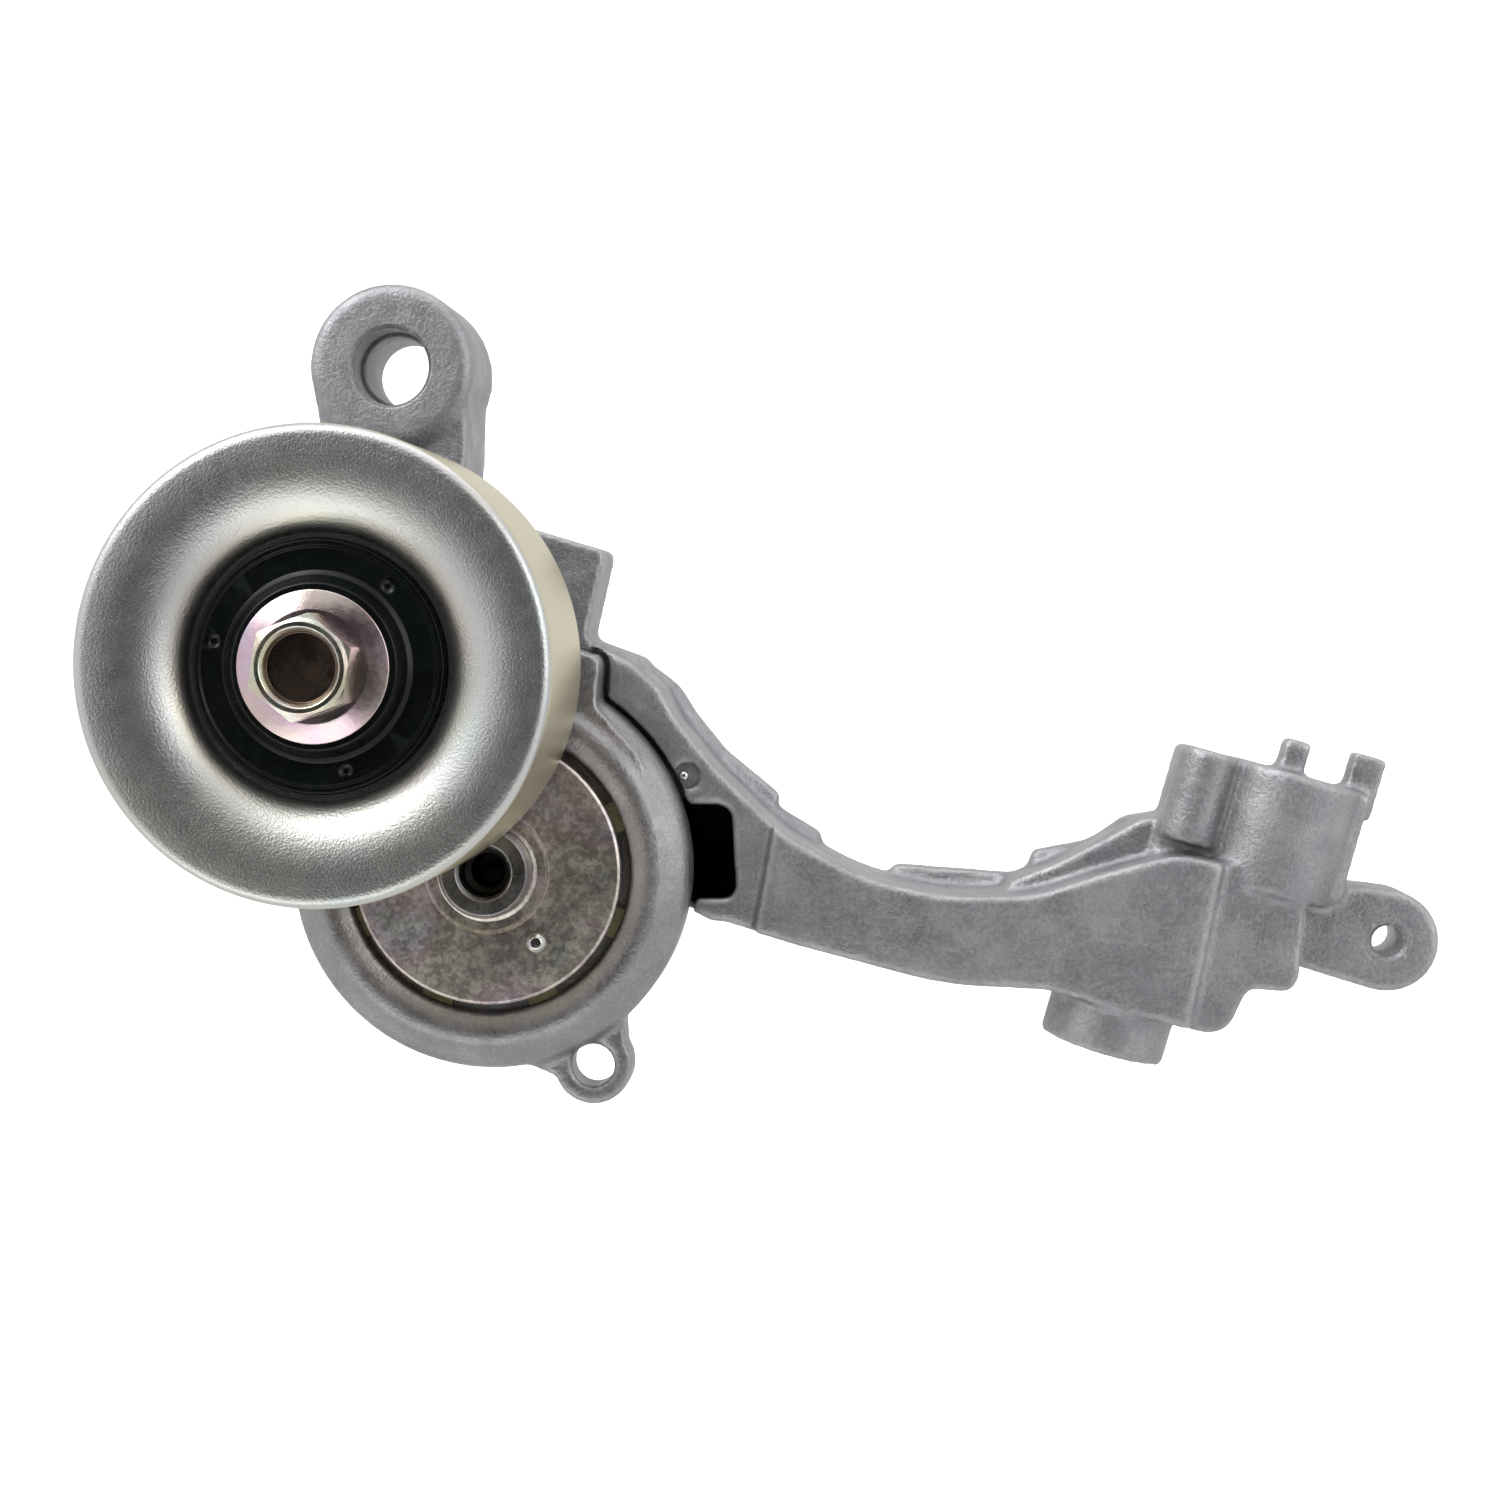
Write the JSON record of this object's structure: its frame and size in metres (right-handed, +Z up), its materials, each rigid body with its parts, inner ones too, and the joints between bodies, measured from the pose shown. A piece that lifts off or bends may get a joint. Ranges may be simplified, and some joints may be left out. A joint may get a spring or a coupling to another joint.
{
  "type": "belt tensioner idler",
  "caption": "Belt tensioner: cast bracket with bolt lug and long arm, sprung swing arm on a central pivot, steel idler pulley on a ball bearing.",
  "frame": {"origin": "on the arm's pivot axis, in the plane of the bracket's rear mounting face", "axes": "+Y out of the rear mounting face, along the pivot and pulley axes, with the pulley on the -Y side; +X towards the long beam's far ear; +Z up"},
  "size_m": [0.2101, 0.069, 0.1344],
  "materials": {
    "cast_aluminium": "fine blasted die casting, satin",
    "cast_aluminium_arm": "fine blasted die casting, a little warmer and smoother",
    "turned_aluminium": "turned and staked, satin",
    "bearing_plastic": "filled nylon",
    "passivated_steel": "zinc plated, iridescent passivation, speckled",
    "bright_steel": "bright",
    "olive_plastic": "moulded, matt",
    "spring_steel": "dark, oiled",
    "plated_pulley_steel": "zinc plated pressing, faintly iridescent",
    "bearing_steel": "ground",
    "cage_plastic": "nylon",
    "seal_rubber": "moulded rubber",
    "black_cover": "black coated pressing, semi-gloss",
    "passivated_washer": "zinc plated, pink and green iridescence",
    "passivated_bolt": "zinc plated, yellow iridescence"
  },
  "bodies": {
    "bracket": {"mounting_bracket": "cast_aluminium", "pivot_post": "turned_aluminium", "front_plate": "passivated_steel", "plate_rivet": "bright_steel", "torsion_spring": "spring_steel"},
    "arm": {"tensioner_arm": "cast_aluminium_arm", "pivot_bushing": "bearing_plastic", "thrust_washer": "olive_plastic", "damping_ring": "bearing_plastic", "pulley_bolt": "passivated_bolt", "bolt_washer": "passivated_washer", "dust_cover": "black_cover", "spacer_sleeve": "bright_steel", "bearing_inner_ring": "bearing_steel", "rear_dust_shield": "black_cover"},
    "pulley": {"pulley_shell": "plated_pulley_steel", "bearing_outer_ring": "bearing_steel", "front_seal": "seal_rubber", "rear_seal": "seal_rubber"},
    "ball_set": {"bearing_balls": "bearing_steel", "bearing_cage": "cage_plastic"}
  },
  "joints": [
    {"name": "arm_pivot", "type": "hinge", "parent": "bracket", "child": "arm", "pos_m": [0, 0, 0], "axis": [0, -1, 0], "range_deg": [0, 25], "stiffness_Nm_per_rad": 2, "springref_deg": -8.59},
    {"name": "pulley_spin", "type": "hinge", "parent": "arm", "child": "pulley", "pos_m": [-0.0197, 0, 0.0334], "axis": [0, -1, 0], "continuous": true},
    {"name": "ball_set_spin", "type": "hinge", "parent": "arm", "child": "ball_set", "pos_m": [-0.0197, 0, 0.0334], "axis": [0, -1, 0], "continuous": true}
  ],
  "couplings": [
    {"joint": "ball_set_spin", "follows": "pulley_spin", "ratio": 0.618}
  ]
}
